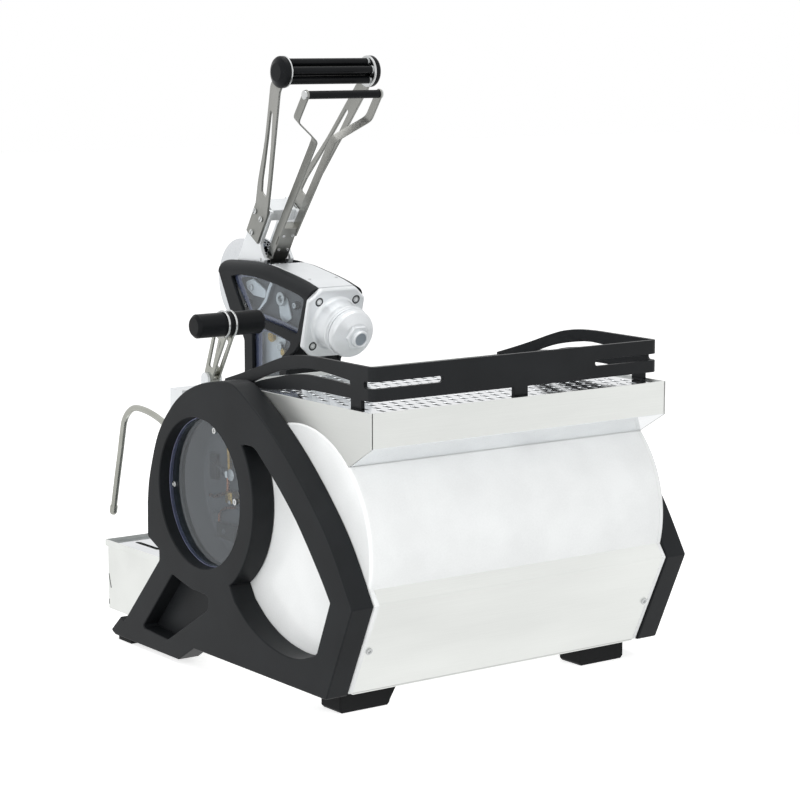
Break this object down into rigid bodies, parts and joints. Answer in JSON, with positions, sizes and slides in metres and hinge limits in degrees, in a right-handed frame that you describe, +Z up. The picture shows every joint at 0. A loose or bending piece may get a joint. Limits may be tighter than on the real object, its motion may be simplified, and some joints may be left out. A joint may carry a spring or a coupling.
{
  "type": "lever espresso machine",
  "caption": "Countertop lever espresso machine: white curved body between black side frames with round windows, railed cup tray, and a tall spring lever with a trigger.",
  "frame": {"origin": "middle of the machine's outline on the counter, on the plane of the feet", "axes": "+Z up, -Y towards the barista, +Y towards the back, +X to the barista's right"},
  "size_m": [0.58, 0.774, 0.8643],
  "materials": {
    "cast_black": "satin black coat on a casting",
    "enamel_white": "glossy white",
    "brushed_steel": "brushed",
    "polished_steel": "polished",
    "cast_silver": "satin silver",
    "dark_plate": "matte dark grey",
    "grip_black": "satin black",
    "rubber_black": "matte",
    "clear_pane": "clear",
    "copper": "drawn copper",
    "dial_white": "gloss"
  },
  "bodies": {
    "machine": {"side_frame_right": "cast_black", "side_frame_left": "cast_black", "cup_rail": "cast_black", "group_cheek_right": "cast_black", "group_cheek_left": "cast_black", "group_frame": "cast_black", "main_spring": "cast_black", "ring_window_right": "clear_pane", "ring_window_left": "clear_pane", "group_pane_right": "clear_pane", "group_pane_left": "clear_pane", "end_cover_right": "enamel_white", "end_cover_left": "enamel_white", "rear_barrel": "enamel_white", "front_panel": "enamel_white", "end_plate_right": "dark_plate", "end_plate_left": "dark_plate", "rear_lower_panel": "brushed_steel", "base_pan": "brushed_steel", "cup_tray": "brushed_steel", "cup_grate": "polished_steel", "shower_screen": "polished_steel", "hot_water_spout": "polished_steel", "group_top_cover": "cast_silver", "spring_housing": "cast_silver", "spring_cap": "cast_silver", "group_bell": "cast_silver", "steam_valve": "cast_silver", "pump": "cast_silver", "rear_foot_right": "rubber_black", "rear_foot_left": "rubber_black", "front_pad_right": "rubber_black", "front_pad_left": "rubber_black", "bell_gasket": "rubber_black", "steam_boiler": "copper", "pressure_gauge": "dial_white"},
    "plunger": {"spring_plunger": "polished_steel"},
    "piston": {"piston": "polished_steel"},
    "lever": {"lever_fork": "cast_black", "lever_arm_right": "cast_silver", "lever_arm_left": "cast_silver", "lever_grip": "grip_black", "grip_end_right": "grip_black", "grip_end_left": "grip_black", "pivot_shaft": "polished_steel", "ratchet_wheel_right": "polished_steel", "ratchet_wheel_left": "polished_steel"},
    "trigger": {"trigger_fork": "cast_silver", "trigger_bar": "polished_steel"},
    "steam_lever": {"steam_lever_bracket": "polished_steel", "steam_lever_grip": "grip_black"},
    "wand": {"steam_wand": "polished_steel"},
    "portafilter": {"portafilter": "polished_steel", "portafilter_handle": "grip_black", "filter_basket": "polished_steel"},
    "drip_tray": {"drip_tray": "brushed_steel", "drip_tray_rim": "brushed_steel"},
    "drip_grate": {"drip_grate": "polished_steel"},
    "button": {"hot_water_button": "grip_black"},
    "switch": {"main_switch": "grip_black"}
  },
  "joints": [
    {"name": "lever_pull", "type": "hinge", "parent": "machine", "child": "lever", "pos_m": [0, -0.293, 0.516], "axis": [1, 0, 0], "range_deg": [0, 110], "stiffness_Nm_per_rad": 12, "springref_deg": -17.19},
    {"name": "trigger_squeeze", "type": "hinge", "parent": "lever", "child": "trigger", "pos_m": [0, -0.2281, 0.5556], "axis": [1, 0, 0], "range_deg": [0, 3.2], "stiffness_Nm_per_rad": 8, "springref_deg": -11.46},
    {"name": "plunger_slide", "type": "slide", "parent": "machine", "child": "plunger", "axis": [0, -0.9659, 0.2588], "range_m": [0, 0.0202], "deforming": ["main_spring"]},
    {"name": "piston_slide", "type": "slide", "parent": "machine", "child": "piston", "axis": [0, 0, 1], "range_m": [0, 0.0302]},
    {"name": "steam_lever_tilt", "type": "hinge", "parent": "machine", "child": "steam_lever", "pos_m": [0.185, -0.119, 0.398], "axis": [1, 0, 0], "range_deg": [-20, 20]},
    {"name": "wand_swivel", "type": "hinge", "parent": "machine", "child": "wand", "pos_m": [0.226, -0.155, 0.317], "axis": [0, 0, 1], "range_deg": [-40, 60]},
    {"name": "portafilter_turn", "type": "hinge", "parent": "machine", "child": "portafilter", "pos_m": [0, -0.1835, 0.245], "axis": [0, 0, 1], "range_deg": [-45, 0]},
    {"name": "drip_tray_slide", "type": "slide", "parent": "machine", "child": "drip_tray", "axis": [0, -1, 0], "range_m": [0, 0.16]},
    {"name": "drip_grate_lift", "type": "slide", "parent": "drip_tray", "child": "drip_grate", "axis": [0, 0, 1], "range_m": [0, 0.03]},
    {"name": "hot_water_press", "type": "slide", "parent": "machine", "child": "button", "axis": [0, 1, 0], "range_m": [0, 0.004], "stiffness_N_per_m": 300, "springref_m": -0.002},
    {"name": "main_switch_turn", "type": "hinge", "parent": "machine", "child": "switch", "pos_m": [0.125, -0.119, 0.19], "axis": [0, 1, 0], "range_deg": [0, 90]}
  ],
  "couplings": [
    {"joint": "plunger_slide", "follows": "lever_pull", "m_per_rad": 0.01042},
    {"joint": "piston_slide", "follows": "lever_pull", "m_per_rad": 0.01563}
  ]
}
